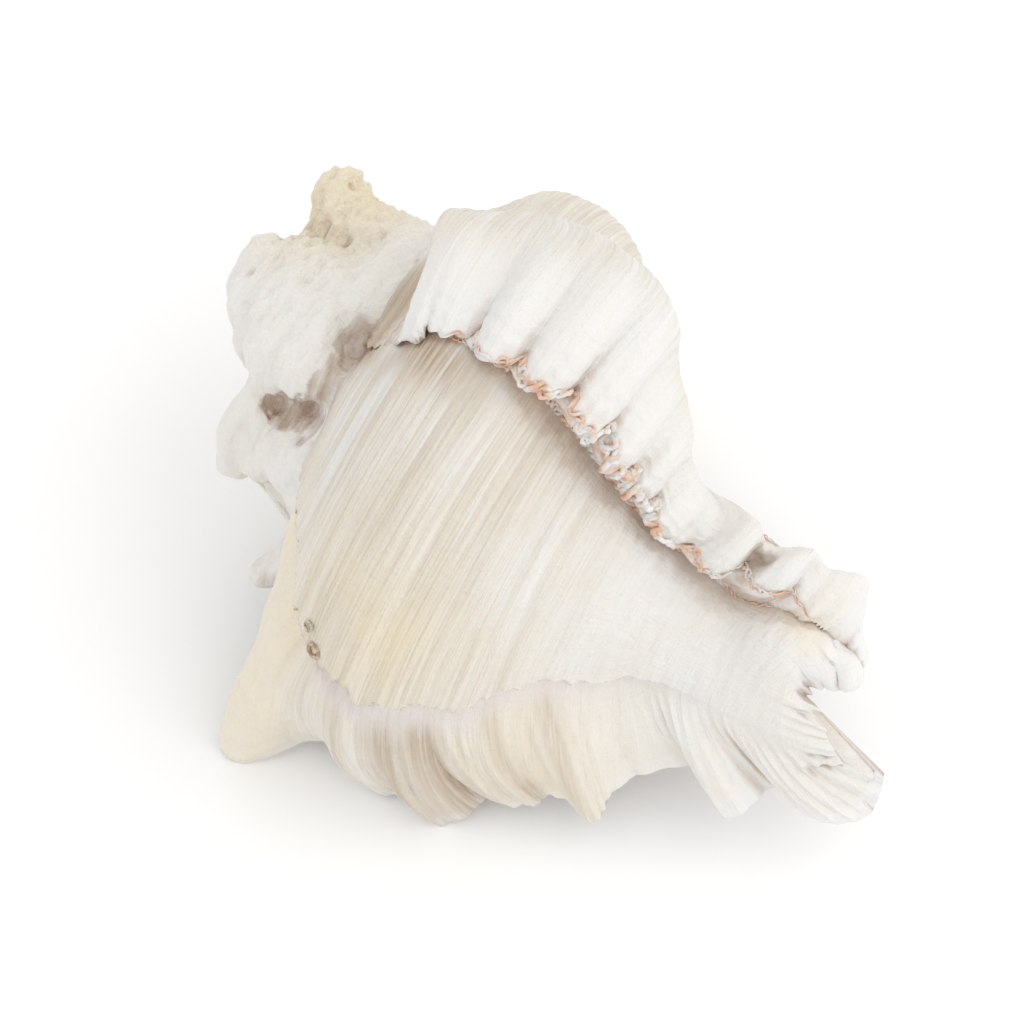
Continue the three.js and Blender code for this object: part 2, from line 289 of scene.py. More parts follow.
def ribs(station, creases):
    """Rounded ribs between sharp creases: 0 in a crease, 1 on a rib."""
    creases = np.asarray(creases, float)
    i = np.clip(np.searchsorted(creases, station) - 1, 0, len(creases) - 2)
    u = np.clip((station - creases[i]) / (creases[i + 1] - creases[i]), 0, 1)
    return np.sin(np.pi * u) ** 0.7


def normals_of(points):
    across = np.gradient(points, axis=0)
    along = np.gradient(points, axis=1)
    n = np.cross(across, along)
    return n / np.maximum(np.linalg.norm(n, axis=-1, keepdims=True), 1e-9)


def step_line(station):
    """Growth angle of the broken growth step behind the lip."""
    jags = 0.8 * waves(station * 30, 0 * station, 3) + 0.7 * waves(station * 90, 0 * station, 4)
    return np.interp(station, *zip(*STEP_AT)) + jags


def crown_folds(growth, station, height, lift, lean):
    """Adds the crown varices' folds, the lobes of their front edge and the thin lamellae before it."""
    mm = station * STATION_MM
    for angle in (crown_angle(growth, station), growth - CROWNS[1][0]):
        on = plateau(angle, -27, -9, 0, DROP_SPAN)
        rib = ribs(station, CROWN_CREASES)
        soft = rib**2
        close = smooth(angle, -14, -2)
        uneven = 1 + 0.45 * waves(mm / 16, 0 * mm, 12)
        lift = lift + height * uneven * (soft * (1 - close) + rib * close - 0.6) * on
        lobes = 0.3 + 0.6 * rib + 0.2 * waves(mm / 2.2, 0 * mm, 8)
        lean = lean + 5 * lobes * smooth(angle, -16, 0) * fade(angle, 0, DROP_SPAN)
        lamella = np.sin(angle * 2 * np.pi / LAMELLA_PITCH + 4 * rib + waves(mm / 4, 0 * mm, 9))
        lift = lift + 0.13 * lamella * smooth(angle, -11, -5) * fade(angle, -1, 1)
    return lift, lean


def lip_relief(growth, station, height, lift):
    """Adds the growth step behind the lip, and the lip's ribs, wrinkles and spines."""
    mm = station * STATION_MM
    past = growth - step_line(station)
    zone = plateau(station, 0.04, 0.08, 0.76, 0.86)
    deep = 1 + 2.2 * fade(station, 0.2, 0.34)
    lift = lift - height * deep * zone * smooth(past, 0, 0.9) * fade(past, 3, 26)
    rib = ribs(station, LIP_CREASES)
    lift = lift + 1.5 * (rib - 0.6) * smooth(growth, 98, 132)
    wrinkles = np.sin(mm * 2 * np.pi / WRINKLE_PITCH + 2 * waves(mm / 15, growth / 30, 10))
    lift = lift + 0.2 * wrinkles * smooth(past, 2, 18) * smooth(station, 0.25, 0.33)
    creased = np.sin(growth * 2 * np.pi / CREASE_PITCH + 2 * waves(mm / 9, growth / 12, 13))
    lift = lift + 0.3 * creased * bell(station, 0.19, 0.05) * smooth(growth, 104, 116)
    horn = 2.5 * bell(station, 0.165, 0.032) - 1.5 * bell(station, 0.24, 0.022)
    lift = lift + horn * smooth(growth, 100, 130)
    canal_spines = bell(station, 0.905, 0.035) + 0.8 * bell(station, 0.808, 0.03)
    return lift + 1.6 * canal_spines * smooth(growth, 98, 132)


def last_turn_relief(growth, station, sizes):
    """How far the last turn stands off the plain shape, in millimetres, along with how far it leans
    forward, in degrees, and how far it reaches towards the canal."""
    mm = station * STATION_MM
    threads = 0.07 * np.sin(mm * 2 * np.pi / THREAD_PITCH + 1.2 * waves(mm / 22, growth / 60, 5))
    lift = threads + 0.25 * waves(mm / 14, growth / 45, 6) + 0.06 * waves(mm / 5, growth / 9, 7)
    lift, lean = crown_folds(growth, station, sizes.fold_height * 1000, lift, 0 * growth)
    lift = lip_relief(growth, station, sizes.step_height * 1000, lift)
    # The broken canal of an older lip
    lift = lift + (2.5 + waves(mm / 3, growth / 6, 14)) * bell(growth, 4, 14) * bell(station, 0.975, 0.03)
    ragged = waves(growth / 7, station * 20, 15)
    reach = (np.interp(growth, *zip(*END_REACH)) + ragged) * smooth(station, 0.9, 1)
    return lift, lean, reach


def grid_mesh(name, shape, first, last):
    """Closed mesh from a grid of points whose rows are loops, with a centre point at both ends."""
    rows, count = shape.shape[:2]
    points = np.concatenate([shape.reshape(-1, 3), [first, last]])
    j = np.arange(count)
    following = (j + 1) % count
    i = np.arange(rows - 1)[:, None] * count
    quads = np.stack([i + j, i + count + j, i + count + following, i + following], -1).reshape(-1, 4)
    end = (rows - 1) * count
    caps = np.concatenate([
        np.stack([0 * j + rows * count, j, following], -1),
        np.stack([0 * j + rows * count + 1, end + following, end + j], -1),
    ])
    mesh = bpy.data.meshes.new(name)
    mesh.vertices.add(len(points))
    mesh.vertices.foreach_set("co", (points / 1000).astype(np.float32).ravel())
    mesh.loops.add(quads.size + caps.size)
    mesh.loops.foreach_set("vertex_index", np.concatenate([quads.ravel(), caps.ravel()]).astype(np.int32))
    starts = np.concatenate([np.arange(len(quads)) * 4, quads.size + np.arange(len(caps)) * 3])
    mesh.polygons.add(len(starts))
    mesh.polygons.foreach_set("loop_start", starts.astype(np.int32))
    mesh.update(calc_edges=True)
    mesh.validate()
    return mesh


def link(name, mesh):
    piece = bpy.data.objects.new(name, mesh)
    bpy.context.scene.collection.objects.link(piece)
    return piece


def skin_of(growth, station, lift, lean, reach=0.0):
    """Points and outward directions of the surface with its relief."""
    shape = surface(growth, station)
    shape[..., 0] += reach
    ground = to_space(shape[..., 0], shape[..., 1], growth)
    facing = normals_of(ground)
    rim = to_space(shape[..., 0], shape[..., 1] + 1, growth) - ground
    facing = facing * np.sign((facing * rim).sum())
    skin = to_space(shape[..., 0], shape[..., 1], growth + lean) + facing * np.asarray(lift)[..., None]
    return skin, facing


def dents(points):
    """How the recesses around the spire push points towards the coiling axis, in millimetres."""
    axis = to_space(np.array([0.0, 1.0]), np.zeros(2), np.zeros(2))
    forward = axis[1] - axis[0]
    inward = axis[0] + ((points - axis[0]) @ forward)[..., None] * forward - points
    inward /= np.maximum(np.linalg.norm(inward, axis=-1, keepdims=True), 1e-6)
    push = sum(depth * near(points, place, radius) for place, radius, depth in HOLLOWS)
    return inward * push[..., None]


def stretch_of_shell(growths, stations, lift, lean, reach=0.0):
    """Points of a stretch of whorl, closed at the coiling axis, and the surface grid alone."""
    growth, station = np.meshgrid(growths, stations)
    skin = skin_of(growth, station, lift, lean, reach)[0]
    kept = smooth(station, 0.1, 0.14) * smooth(growth, -170, -140) * (growths[-1] == RIM_AT)
    skin = skin + dents(skin) * (1 - kept)[..., None]
    newest = 0 * stations + growths[-1]
    along = plain(newest, stations)[..., 0]
    drawn_in = along - DRAWN_IN * np.maximum(along - CANAL_END, 0)
    axis = to_space(drawn_in, 0 * newest, newest)
    rings = np.concatenate([axis[:, None], skin[:, ::-1]], 1)
    ends = along[0] - 1, drawn_in[-1] + 0.5
    first, last = (to_space(np.array(x), np.array(0.0), np.array(growths[-1])) for x in ends)
    return rings, first, last, growth, station, skin


def hollow_mesh():
    rings = []
    for growth in np.arange(HOLLOW_BACK_TO, RIM_AT + PAST_RIM + 1, 4.0):
        t = np.arange(64) / 64
        outline = spline(MOUTH, t)
        size = size_at(growth, 0)
        flare = MOUTH_FLARE * smooth(growth, MOUTH_FLARE_FROM, RIM_AT)
        flare = flare * smooth(outline[:, 1], *LIP_SIDE)
        rings.append(to_space(outline[:, 0] * size, (outline[:, 1] + flare) * size, growth + 0 * t))
    rings = np.array(rings)
    return grid_mesh("hollow", rings, rings[0].mean(0), rings[-1].mean(0))


def slot_mesh():
    route = to_space(*np.array(CANAL_ROUTE, float).T)
    t = np.linspace(0, 1, 40)
    middle = spline(route, t)
    forward = np.gradient(middle, axis=0)
    forward /= np.linalg.norm(forward, axis=1, keepdims=True)
    last = np.array(float(CANAL_ROUTE[-1][2]))
    zero = np.array(0.0)
    outwards = to_space(zero, np.array(1.0), last) - to_space(zero, zero, last)
    across = np.cross(forward, outwards)
    across /= np.linalg.norm(across, axis=1, keepdims=True)
    a = np.linspace(0, 2 * np.pi, 24, endpoint=False)[None, :, None]
    rings = middle[:, None] + across[:, None] * SLOT_HALF_WIDTH * np.cos(a)
    rings = rings + outwards * SLOT_HALF_DEPTH * np.sin(a)
    return grid_mesh("slot", rings, middle[0], middle[-1])


def carve(piece, *cutters):
    """Takes the cutters out of the piece."""
    for cutter in cutters:
        cut = piece.modifiers.new("cut", "BOOLEAN")
        cut.operation, cut.solver, cut.object = "DIFFERENCE", "MANIFOLD", cutter
    settle(piece)


def settle(piece):
    """Applies every modifier of the piece."""
    depsgraph = bpy.context.evaluated_depsgraph_get()
    mesh = bpy.data.meshes.new_from_object(piece.evaluated_get(depsgraph))
    piece.modifiers.clear()
    piece.data = mesh


def coordinates(mesh):
    points = np.zeros(len(mesh.vertices) * 3, np.float32)
    mesh.vertices.foreach_get("co", points)
    return points.reshape(-1, 3)


def store(mesh, name, values, kind="FLOAT"):
    attribute = mesh.attributes.get(name) or mesh.attributes.new(name, kind, "POINT")
    part = "value" if kind == "FLOAT" else "vector"
    attribute.data.foreach_set(part, np.asarray(values, np.float32).ravel())


def in_recess(mesh):
    """How deep in one of the hollows beside the spire each vertex lies, 0 to 1."""
    points = coordinates(mesh).astype(float) * 1000
    return smooth(np.linalg.norm(dents(points), axis=1), 2.5, 7)


def wear_flat(mesh):
    points = coordinates(mesh)
    points[:, 2] = np.maximum(points[:, 2], 0)
    mesh.vertices.foreach_set("co", points.ravel())
    mesh.update()


def smooth_shaded(mesh, angle):
    mesh.polygons.foreach_set("use_smooth", np.ones(len(mesh.polygons), bool))
    mesh.set_sharp_from_angle(angle=math.radians(angle))


def openness(meshes):
    """For each mesh, the share of short rays that leave each vertex without meeting the shell."""
    points, faces, start = [], [], 0
    for mesh in meshes:
        points += [tuple(p) for p in coordinates(mesh)]
        faces += [tuple(start + v for v in polygon.vertices) for polygon in mesh.polygons]
        start += len(mesh.vertices)
    tree = BVHTree.FromPolygons(points, faces)
    rng = np.random.default_rng(11)
    fan = rng.normal(size=(RECESS_RAYS, 3))
    fan = [Vector(v / np.linalg.norm(v)) for v in fan]
    shares = []
    for mesh in meshes:
        share = np.zeros(len(mesh.vertices))
        for k, vertex in enumerate(mesh.vertices):
            normal = vertex.normal
            origin = vertex.co + normal * 0.0004
            free = 0
            for ray in fan:
                towards = (ray + normal * 1.05).normalized()
                free += tree.ray_cast(origin, towards, RECESS_REACH)[0] is None
            share[k] = free / RECESS_RAYS
        shares.append(share)
    return shares


class Nodes:
    """Short ways to add and link a material's or a geometry tree's nodes."""

    def __init__(self, tree):
        self.tree = tree
        tree.nodes.clear()

    def add(self, kind, settings=None, **inputs):
        node = self.tree.nodes.new(kind)
        for key, value in (settings or {}).items():
            setattr(node, key, value)
        for key, value in inputs.items():
            self.put(node.inputs[key.replace("_", " ")], value)
        return node

    def put(self, socket, value):
        if isinstance(value, bpy.types.NodeSocket):
            self.tree.links.new(value, socket)
        else:
            socket.default_value = value

    def math(self, operation, a, b=0.0, clamp=False):
        node = self.add("ShaderNodeMath", {"operation": operation, "use_clamp": clamp})
        self.put(node.inputs[0], a)
        self.put(node.inputs[1], b)
        return node.outputs[0]

    def blend(self, amount, a, b, mode="MIX"):
        node = self.add("ShaderNodeMix", {"data_type": "RGBA", "blend_type": mode})
        self.put(node.inputs[0], amount)
        self.put(node.inputs[6], a)
        self.put(node.inputs[7], b)
        return node.outputs[2]

    def attribute(self, name, output="Fac"):
        return self.add("ShaderNodeAttribute", {"attribute_name": name}).outputs[output]

    def noise(self, vector, scale, detail=3.0, roughness=0.5, stretch=(1, 1, 1)):
        mapping = self.add("ShaderNodeMapping", Vector=vector, Scale=stretch)
        node = self.add("ShaderNodeTexNoise", Vector=mapping.outputs[0], Scale=scale, Detail=detail,
                        Roughness=roughness)
        return node.outputs["Fac"]

    def between(self, value, low, high):
        node = self.add("ShaderNodeMapRange", {"interpolation_type": "SMOOTHSTEP"}, Value=value)
        node.inputs["From Min"].default_value = low
        node.inputs["From Max"].default_value = high
        return node.outputs[0]

    def named(self, name, kind="FLOAT_VECTOR"):
        return self.add("GeometryNodeInputNamedAttribute", {"data_type": kind}, Name=name).outputs[0]

    def scaled(self, vector, amount):
        node = self.add("ShaderNodeVectorMath", {"operation": "SCALE"}, Vector=vector, Scale=amount)
        return node.outputs[0]

    def vector_math(self, operation, a, b):
        node = self.add("ShaderNodeVectorMath", {"operation": operation})
        self.put(node.inputs[0], a)
        self.put(node.inputs[1], b)
        return node.outputs[0]


def rgba(colour):
    return (*colour, 1.0)


def glow(shader, weight, radius, scale):
    """Lets light spread under the surface."""
    for name, value in (("Weight", weight), ("Radius", radius), ("Scale", scale)):
        shader.inputs["Subsurface " + name].default_value = value


def shell_material(colours, sizes):
    """Chalky bleached shell: streaks and threads that follow the growth, stain marks, and painted shade in
    recesses and under overhangs.
    """
    material = bpy.data.materials.new("bleached shell")
    material.use_nodes = True
    n = Nodes(material.node_tree)
    coil = n.attribute("coil", "Vector")
    place = n.add("ShaderNodeTexCoord").outputs["Object"]

    fine = n.noise(coil, 1.0, 4, 0.6, (1.3, 0.02, 0.1))
    broad = n.noise(coil, 1.0, 2, 0.5, (0.2, 0.012, 0.1))
    cloud = n.noise(place, 55.0, 3, 0.55)
    speck = n.noise(place, 900.0, 2, 0.6)
    streak = n.math("ADD", n.math("MULTIPLY", fine, 0.6), n.math("MULTIPLY", broad, 0.4))
    streak = n.between(streak, 0.3, 0.64)
    streaky = n.attribute("streaky")
    colour = n.blend(n.between(cloud, 0.35, 0.7), rgba(colours.cream), rgba(colours.white))
    gaps = n.math("MULTIPLY", n.math("SUBTRACT", 1.0, streak), streaky, True)
    for amount, coat in (
        (gaps, colours.beige),
        (n.attribute("bleached"), colours.white),
        (n.math("MULTIPLY", n.attribute("yellowed"), n.between(cloud, 0.2, 0.7)), colours.yellow),
        # real brown bands on the lip, plus painted shade in the groove, under the crest's overhang, in the
        # gutter, in the pits and in the spire's recesses
        (n.math("MULTIPLY", n.attribute("brown_bands_and_shade"), n.between(fine, 0.3, 0.6)), colours.brown),
        # painted shade: the lilac-grey strip in the shade of the growth step
        (n.attribute("lilac_shade"), colours.lilac_shade),
        (n.math("MULTIPLY", n.attribute("blushed"), n.between(speck, 0.35, 0.6)), colours.peach),
        # painted shade: hollows that few short rays get out of are darkened
        (n.attribute("hollow_shade_and_crust"), colours.hollow_shade_and_crust),
        (n.attribute("inner"), colours.inner),
    ):
        colour = n.blend(amount, colour, rgba(coat))

    thread = n.noise(coil, 1.0, 3, 0.6, (1.1, 0.02, 0.1))
    lines = n.noise(coil, 1.0, 2, 0.5, (0.08, 0.9, 0.1))
    grain = n.noise(place, 700.0, 4, 0.65)
    height = n.math("MULTIPLY", thread, n.math("ADD", 0.25, n.math("MULTIPLY", streaky, 0.45)))
    height = n.math("ADD", height, n.math("MULTIPLY", lines, 0.2))
    height = n.math("ADD", height, n.math("MULTIPLY", grain, n.math("ADD", 0.3, n.attribute("grainy"))))
    bump = n.add("ShaderNodeBump", Height=height, Distance=sizes.thread_height)
    bump.inputs["Strength"].default_value = 0.9
    rough = n.math("ADD", 0.42, n.math("MULTIPLY", cloud, 0.2))
    shader = n.add("ShaderNodeBsdfPrincipled", Normal=bump.outputs[0], Roughness=rough)
    n.put(shader.inputs["Base Color"], colour)
    glow(shader, 0.12, (1.0, 0.6, 0.4), 0.002)
    shader.inputs["Specular IOR Level"].default_value = 0.4
    n.add("ShaderNodeOutputMaterial", Surface=shader.outputs[0])
    return material


def length(name, description, default, limit):
    return bpy.props.FloatProperty(
        name=name, description=description, default=default, min=0, max=limit, unit="LENGTH")


class MurexSizes(bpy.types.PropertyGroup):
    fold_height: length("Fold height", "How far the folds of a crown varix stand up", 0.0024, 0.006)
    frill_height: length("Frill height", "How far the frills' loops stand out", 0.0016, 0.004)
    step_height: length("Growth step", "Height of the broken growth step behind the lip", 0.0012, 0.003)
    thread_height: length(
        "Thread height", "Height of the fine threads that run with the growth", 0.0009, 0.003)


def tone(name, description, default):
    return bpy.props.FloatVectorProperty(
        name=name, description=description, subtype="COLOR", default=default)


class MurexColours(bpy.types.PropertyGroup):
    cream: tone("Cream", "Aged shell between the varices", (0.80, 0.75, 0.66))
    white: tone("White", "Bleached shell", (0.82, 0.81, 0.79))
    beige: tone("Beige", "Streaks between the threads", (0.64, 0.57, 0.46))
    yellow: tone("Yellow", "Yellowed patches", (0.85, 0.70, 0.42))
    # Also the colour of the painted shade in the groove, under overhangs, in the gutter, in the pits and in
    # the spire's recesses
    brown: tone("Brown", "Brown bands on the lip", (0.42, 0.29, 0.18))
    # Painted shade: the strip that lies in the shade of the growth step
    lilac_shade: tone("Lilac", "Strip under the growth step", (0.76, 0.71, 0.72))
    peach: tone("Peach", "Frills and their recesses", (0.75, 0.47, 0.32))
    # Painted shade in the shell's hollows; also the dark part of the ring scars' real crust
    hollow_shade_and_crust: tone("Recess", "Grime and stain in deep hollows", (0.42, 0.27, 0.17))
    inner: tone("Inside", "Glazed inside of the mouth", (0.85, 0.72, 0.62))


def place_piece(piece, material):
    piece.data.materials.clear()
    piece.data.materials.append(material)
    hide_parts("shell")
    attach(piece, "root")


class MUREX_OT_last_turn(bpy.types.Operator):
    """The last turn, with the lip, two crown varices, the hollow and the canal"""
    bl_idname = "murex.last_turn"
    bl_label = "Last turn"

    def execute(self, context):
        sizes = context.scene.murex_sizes
        lines = [np.arange(low, high, step) for low, high, step in GROWTH_BANDS]
        growths = np.concatenate([*lines, [RIM_AT]])
        stations = np.linspace(0, 1, STATION_LINES)
        growth, station = np.meshgrid(growths, stations)
        relief = last_turn_relief(growth, station, sizes)
        rings, first, last, growth, station, skin = stretch_of_shell(growths, stations, *relief)
        piece = link("last_turn", grid_mesh("last_turn", rings, first, last))
        hollow, slot = link("hollow", hollow_mesh()), link("slot", slot_mesh())
        carve(piece, hollow, slot)
        for cutter in (hollow, slot):
            bpy.data.objects.remove(cutter)
        mark(piece.data, growth, station, skin)
        return {"FINISHED"}


def mark(mesh, growth, station, skin):
    """Stores for each vertex where it lies on the coil; vertices off the skin are inside the mouth."""
    tree = KDTree(skin.shape[0] * skin.shape[1])
    flat = (skin / 1000).reshape(-1, 3)
    for k, point in enumerate(flat):
        tree.insert(point, k)
    tree.balance()
    g, s = growth.ravel(), station.ravel()
    found = [tree.find(v.co) for v in mesh.vertices]
    index = np.array([f[1] for f in found])
    off = np.array([f[2] for f in found])
    store(mesh, "growth", g[index])
    store(mesh, "station", s[index])
    store(mesh, "off_skin", off)
    wear_flat(mesh)


def knob_mesh(name, points, radii, seed):
    """A lumpy rounded finger along a path."""
    points, radii = np.array(points, float), np.array(radii, float)
    t = np.linspace(0, 1, 18)
    middle, radius = spline(points, t), spline(np.stack([radii, radii], -1), t)[:, 0]
    forward = np.gradient(middle, axis=0)
    forward /= np.linalg.norm(forward, axis=1, keepdims=True)
    side = np.cross(forward, (0.3, 0.2, 1.0))
    side /= np.linalg.norm(side, axis=1, keepdims=True)
    other = np.cross(forward, side)
    round_end = np.radians([8, 30, 55, 75])
    parts = [(middle[0] - forward[0] * radius[0] * math.cos(a), side[0], other[0], radius[0] * math.sin(a))
             for a in round_end]
    parts += list(zip(middle, side, other, radius))
    parts += [(middle[-1] + forward[-1] * radius[-1] * math.cos(a), side[-1], other[-1],
               radius[-1] * math.sin(a)) for a in round_end[::-1]]
    a = np.linspace(0, 2 * np.pi, 28, endpoint=False)[:, None]
    rings = np.array([c + r * (s * np.cos(a) + o * np.sin(a)) for c, s, o, r in parts])
    away = rings - rings.mean(1, keepdims=True)
    lump = waves(rings[..., 0] / 4 + rings[..., 2] / 7, rings[..., 1] / 4, seed)
    rings = rings + away * (0.1 * lump)[..., None]
    return grid_mesh(name, rings, rings[0].mean(0), rings[-1].mean(0))


class MUREX_OT_spire(bpy.types.Operator):
    """The older turns behind the last one, with their blunt spines"""
    bl_idname = "murex.spire"
    bl_label = "Spire"

    def execute(self, context):
        parts, grids = [], []
        for turn in OLDER_TURNS:
            newest = RIM_AT - 360 * turn + TURN_OVERLAP
            growths, stations = np.linspace(newest - TURN, newest, 130), np.linspace(0, SPIRE_STATION, 60)
            growth, station = np.meshgrid(growths, stations)
            lift = 0.5 * waves(station * 12, growth / 40, 30 + turn) * size_at(growth, station)
            rings, first, last, growth, station, skin = stretch_of_shell(growths, stations, lift, 0 * lift)
            parts.append(link("turn", grid_mesh("turn", rings, first, last)))
            grids.append((growth.ravel(), station.ravel(), skin.reshape(-1, 3)))
        for k, (points, radii) in enumerate(SPIRE_KNOBS):
            parts.append(link("knob", knob_mesh("knob", points, radii, 50 + k)))
        with context.temp_override(active_object=parts[0], selected_editable_objects=parts):
            bpy.ops.object.join()
        piece = parts[0]
        piece.name = piece.data.name = "spire"
        for swell in (SPIRE_SWELL, -SPIRE_SWELL):  # swelling between two remeshes closes narrow clefts
            fuse = piece.modifiers.new("fuse", "REMESH")
            fuse.mode, fuse.voxel_size, fuse.adaptivity = "VOXEL", SPIRE_VOXEL, 0
            move = piece.modifiers.new("swell", "DISPLACE")
            move.strength, move.mid_level = swell, 0
        ease = piece.modifiers.new("ease", "SMOOTH")
        ease.factor, ease.iterations = 0.5, SPIRE_EASING
        settle(piece)
        growth, station, skin = (np.concatenate(values) for values in zip(*grids))
        mark(piece.data, growth, station, skin)
        weather(piece.data)
        return {"FINISHED"}


def weather(mesh):
    """Pits and crumbles the old surface, most of all on the cone-shaped spine."""
    points = coordinates(mesh).astype(float) * 1000
    normals = np.zeros(len(points) * 3, np.float32)
    mesh.vertices.foreach_get("normal", normals)
    x, y, z = points.T
    crumb = waves(x / 2.1 + z / 3.3, y / 2.3, 41, 14) + 0.7 * waves(y / 1.4 - z / 1.6, x / 1.5, 42, 14)
    cone = near(points, CONE_SPINE, 13)
    lift = crumb * (0.2 + 0.6 * cone)
    for pit, radius, depth in SPIRE_PITS:
        lift = lift - depth * near(points, pit, radius)
    points = points + normals.reshape(-1, 3) * lift[:, None]
    mesh.vertices.foreach_set("co", (points / 1000).astype(np.float32).ravel())
    mesh.update()
    store(mesh, "cone", cone)
    store(mesh, "pitted", sum(near(points, pit, radius) for pit, radius, _ in SPIRE_PITS))


def geometry_tree(name, sizes):
    """An empty geometry tree with a material input and a named input for each size."""
    tree = bpy.data.node_groups.new(name, "GeometryNodeTree")
    tree.interface.new_socket("Geometry", in_out="INPUT", socket_type="NodeSocketGeometry")
    tree.interface.new_socket("Geometry", in_out="OUTPUT", socket_type="NodeSocketGeometry")
    for key, value in sizes.items():
        tree.interface.new_socket(key, in_out="INPUT", socket_type="NodeSocketFloat").default_value = value
    tree.interface.new_socket("Material", in_out="INPUT", socket_type="NodeSocketMaterial")
    return tree


def grow(piece, tree, material, **sizes):
    """Runs a geometry tree on the piece and keeps the result as a plain mesh."""
    modifier = piece.modifiers.new(tree.name, "NODES")
    modifier.node_group = tree
    entries = [item for item in tree.interface.items_tree if item.in_out == "INPUT"]
    sockets = {item.name: item.identifier for item in entries}
    modifier[sockets["Material"]] = material
    for key, value in sizes.items():
        modifier[sockets[key.replace("_", " ")]] = value
    settle(piece)


def frill_tree():
    """Three wavy cords wound about a path, which together make a lace of loops."""
    tree = geometry_tree(
        "frill", {"Curl Length": 0.004, "Curl Height": 0.0012, "Cord Radius": 0.0006, "Seed": 3.0})
    n = Nodes(tree)
    entry = n.add("NodeGroupInput").outputs
    curve = n.add("GeometryNodeMeshToCurve", Mesh=entry["Geometry"]).outputs[0]
    curve = n.add("GeometryNodeResampleCurve", {"mode": "LENGTH"}, Curve=curve, Length=0.0004).outputs[0]
    outward, forward, strength = n.named("outward"), n.named("forward"), n.named("strength", "FLOAT")
    length = n.add("GeometryNodeSplineParameter").outputs["Length"]
    join = n.add("GeometryNodeJoinGeometry")
    profile = n.add("GeometryNodeCurvePrimitiveCircle", Resolution=7, Radius=1.0).outputs[0]
    for strand in range(FRILL_STRANDS):
        seed = n.math("ADD", entry["Seed"], strand * 7.3)
        noise = n.add("ShaderNodeTexNoise", {"noise_dimensions": "4D"}, W=seed, Scale=420.0, Detail=2.0)
        noise = noise.outputs["Fac"]
        uneven = n.math("MULTIPLY", noise, 9.0)
        turn = n.math("DIVIDE", length, entry["Curl Length"])
        turn = n.math("MULTIPLY", turn, 2 * math.pi * (1 + 0.17 * strand))
        phase = n.math("ADD", n.math("ADD", turn, uneven), strand * 2.1)
        high = n.math("MULTIPLY", entry["Curl Height"], strength)
        high = n.math("MULTIPLY", high, n.math("ADD", noise, 0.5))
        ahead = n.math("MULTIPLY", n.math("SINE", phase), high)
        proud = n.math("COSINE", n.math("MULTIPLY", phase, 1.3))
        proud = n.math("MULTIPLY", proud, n.math("MULTIPLY", high, 0.5))
        offset = n.vector_math("ADD", n.scaled(forward, ahead), n.scaled(outward, proud))
        moved = n.add("GeometryNodeSetPosition", Geometry=curve, Offset=offset).outputs[0]
        thick = n.math("MULTIPLY", entry["Cord Radius"], n.math("ADD", n.math("MULTIPLY", noise, 1.2), 0.4))
        tube = n.add("GeometryNodeCurveToMesh", Curve=moved, Profile_Curve=profile, Fill_Caps=True,
                     Scale=n.math("MULTIPLY", thick, strength)).outputs[0]
        n.put(join.inputs[0], tube)
    finish_tree(n, entry, join.outputs[0])
    return tree


def finish_tree(n, entry, geometry):
    real = n.add("GeometryNodeRealizeInstances", Geometry=geometry).outputs[0]
    coat = n.add("GeometryNodeSetMaterial", Geometry=real, Material=entry["Material"]).outputs[0]
    n.add("NodeGroupOutput", Geometry=coat)


def edge_path(name, edge, stations, strengths, sizes):
    """A path just on the front edge of a crown varix, with its own directions on each point."""
    growth = edge + np.array([-1.0, 0, 1.0])[:, None]
    station = np.broadcast_to(stations, growth.shape)
    skin, facing = skin_of(growth, station, *last_turn_relief(growth, station, sizes))
    middle = skin[1] + 0.15 * facing[1]
    forward = skin[2] - skin[0]
    forward /= np.linalg.norm(forward, axis=1, keepdims=True)
    mesh = bpy.data.meshes.new(name)
    mesh.from_pydata((middle / 1000).tolist(), [(k, k + 1) for k in range(len(middle) - 1)], [])
    store(mesh, "outward", facing[1], "FLOAT_VECTOR")
    store(mesh, "forward", forward, "FLOAT_VECTOR")
    store(mesh, "strength", strengths)
    return link(name, mesh)


class MUREX_OT_frills(bpy.types.Operator):
    """Coral-like frills along the front edges of the crown varices"""
    bl_idname = "murex.frills"
    bl_label = "Frills"

    def execute(self, context):
        scene = context.scene
        colours = scene.murex_colours  # white frills, flushed with peach in their loops
        material, shader = blotched("frill", (colours.white, colours.peach), (260.0, 0.36, 0.62),
                                    (1600.0, 3, 0.6), 0.0003, 0.5)
        glow(shader, 0.2, (1.0, 0.55, 0.4), 0.001)
        tree = frill_tree()
        stations = np.linspace(*FRILL_STATIONS, 240)
        front = np.interp(stations, *zip(*CROWN_FRONT))
        strong = 0.35 + 0.65 * bell(stations, 0.56, 0.12) + 0.25 * bell(stations, 0.36, 0.05)
        strong = strong * smooth(stations, 0.2, 0.26) * fade(stations, 0.86, 0.93)
        for name, edge, strength, seed in (("crown_frill", front - 0.4, strong, 3.0),
                                           ("crown_foot_frill", front + 3.2, 0.8 * strong, 5.0),
                                           ("older_frill", 0 * front + CROWNS[1][0], 0.6 * strong, 11.0)):
            piece = edge_path(name, edge, stations, strength, scene.murex_sizes)
            grow(piece, tree, material, Seed=seed, Curl_Height=scene.murex_sizes.frill_height)
            smooth_shaded(piece.data, FINE_CREASE)
            place_piece(piece, material)
        return {"FINISHED"}


